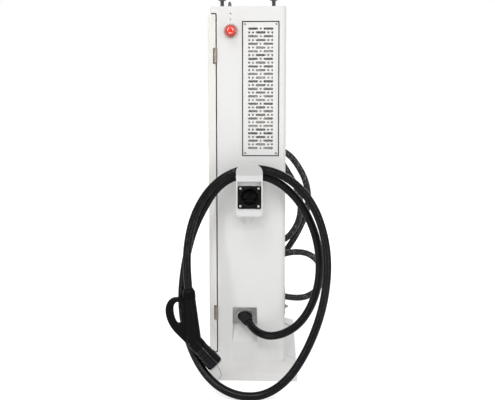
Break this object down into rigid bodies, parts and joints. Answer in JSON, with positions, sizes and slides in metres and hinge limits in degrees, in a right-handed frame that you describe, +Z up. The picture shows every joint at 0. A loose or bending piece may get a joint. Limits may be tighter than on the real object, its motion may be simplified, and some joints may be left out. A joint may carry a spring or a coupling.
{
  "type": "ev charging post",
  "caption": "Slim floor-standing DC charging post with two cabled charging guns, side grilles, cable holsters, an emergency stop and a lockable front door.",
  "frame": {"origin": "on the floor, under the middle of the post's box without its guns and cables", "axes": "+Z up; the door faces -X and the rear faces +X; the two gun sides face -Y and +Y"},
  "size_m": [0.6808, 1.4019, 1.6119],
  "materials": {
    "body_white": "fine textured powder coat, warm grey white",
    "door_white": "satin powder coat, slightly ivory",
    "plinth_white": "fine textured powder coat, slightly greyer",
    "holster_grey": "textured powder coat",
    "grille_steel": "powder coated perforated sheet",
    "baffle_grey": "light grey sheet",
    "galvanised": "galvanised sheet",
    "dark_galvanised": "dull zinc plate",
    "zinc": "zinc plated",
    "hinge_steel": "passivated steel, brownish",
    "screw_copper": "passivated screw heads",
    "brass_bolt": "plain",
    "black_plastic": "fine grain",
    "gloss_black": "polished",
    "cable_black": "matte sheath",
    "seal_rubber": "soft",
    "boot_rubber": "soft",
    "estop_red": "satin",
    "collar_metal": "anodised",
    "screen_glass": "glossy cover glass, switched off",
    "filter_dark": "open-cell mat",
    "module_grey": "plain",
    "breaker_grey": "moulded",
    "board_green": "solder mask",
    "cap_grey": "smooth, light grey"
  },
  "bodies": {
    "root": {"base_frame": "galvanised", "base_plinth": "plinth_white", "breaker_body": "breaker_grey", "cable_pocket_left": "body_white", "cable_pocket_right": "body_white", "charging_cable_left": "cable_black", "charging_cable_right": "cable_black", "contactors": "breaker_grey", "controller_board": "board_green", "dummy_socket_left": "black_plastic", "dummy_socket_right": "black_plastic", "earth_stud": "brass_bolt", "equipment_frame": "galvanised", "estop_collar": "collar_metal", "fan_frames": "black_plastic", "filter_mats": "filter_dark", "front_frame": "body_white", "gland_boot_left": "boot_rubber", "gland_boot_right": "boot_rubber", "gland_plates": "dark_galvanised", "gland_rings": "dark_galvanised", "grille_left": "grille_steel", "grille_right": "grille_steel", "grille_screws": "screw_copper", "gun_left_housing": "black_plastic", "gun_left_nose": "gloss_black", "gun_left_nut": "black_plastic", "gun_right_cap": "cap_grey", "gun_right_housing": "black_plastic", "gun_right_nose": "gloss_black", "gun_right_nut": "black_plastic", "hinge_leaves_body": "hinge_steel", "hinge_pins": "hinge_steel", "holster_left": "holster_grey", "holster_right": "holster_grey", "lifting_eyebolts": "zinc", "power_modules": "module_grey", "rain_baffles": "baffle_grey", "rear_panel": "body_white", "roof_cover": "body_white", "side_panel_left": "body_white", "side_panel_right": "body_white", "trim_screws": "zinc"},
    "door": {"door_panel": "door_white", "door_seal": "seal_rubber", "screen_bezel": "black_plastic", "touchscreen": "screen_glass", "hinge_leaves_door": "hinge_steel", "lock_rosette": "black_plastic"},
    "handle": {"lock_handle": "black_plastic", "lock_cam": "zinc"},
    "rod_upper": {"lock_rod_upper": "zinc"},
    "rod_lower": {"lock_rod_lower": "zinc"},
    "stop_plunger": {"estop_plunger": "collar_metal"},
    "stop_head": {"estop_head": "estop_red"},
    "fan_lower": {"fan_rotor_lower": "black_plastic"},
    "fan_upper": {"fan_rotor_upper": "black_plastic"},
    "isolator_lever": {"breaker_lever": "breaker_grey"},
    "trigger_right": {"gun_right_trigger": "gloss_black"},
    "trigger_left": {"gun_left_trigger": "gloss_black"}
  },
  "joints": [
    {"name": "door_swing", "type": "hinge", "parent": "root", "child": "door", "pos_m": [-0.146, -0.303, 0.8], "axis": [0, 0, 1], "range_deg": [0, 90]},
    {"name": "handle_turn", "type": "hinge", "parent": "door", "child": "handle", "pos_m": [-0.18, 0.225, 0.79], "axis": [-1, 0, 0], "range_deg": [0, 90]},
    {"name": "rod_upper_slide", "type": "slide", "parent": "door", "child": "rod_upper", "axis": [0, 0, 1], "range_m": [0, 0.016]},
    {"name": "rod_lower_slide", "type": "slide", "parent": "door", "child": "rod_lower", "axis": [0, 0, -1], "range_m": [0, 0.016]},
    {"name": "stop_press", "type": "slide", "parent": "root", "child": "stop_plunger", "axis": [0, 1, 0], "range_m": [0, 0.005]},
    {"name": "stop_twist", "type": "hinge", "parent": "stop_plunger", "child": "stop_head", "pos_m": [-0.083, -0.33, 1.422], "axis": [0, 1, 0], "range_deg": [0, 30], "stiffness_Nm_per_rad": 0.05},
    {"name": "fan_lower_spin", "type": "hinge", "parent": "root", "child": "fan_lower", "pos_m": [0.11775, 0, 1.09], "axis": [1, 0, 0], "continuous": true},
    {"name": "fan_upper_spin", "type": "hinge", "parent": "root", "child": "fan_upper", "pos_m": [0.11775, 0, 1.33], "axis": [1, 0, 0], "continuous": true},
    {"name": "isolator_turn", "type": "hinge", "parent": "root", "child": "isolator_lever", "pos_m": [0.002, -0.0075, 0.7025], "axis": [0, -1, 0], "range_deg": [0, 40]},
    {"name": "trigger_right_press", "type": "slide", "parent": "root", "child": "trigger_right", "axis": [0.9963, 0, 0.0854], "range_m": [0, 0.004], "stiffness_N_per_m": 300},
    {"name": "trigger_left_press", "type": "slide", "parent": "root", "child": "trigger_left", "axis": [0, -0.4083, -0.9128], "range_m": [0, 0.004], "stiffness_N_per_m": 300}
  ],
  "couplings": [
    {"joint": "rod_upper_slide", "follows": "handle_turn", "m_per_rad": 0.009549},
    {"joint": "rod_lower_slide", "follows": "handle_turn", "m_per_rad": 0.009549}
  ]
}
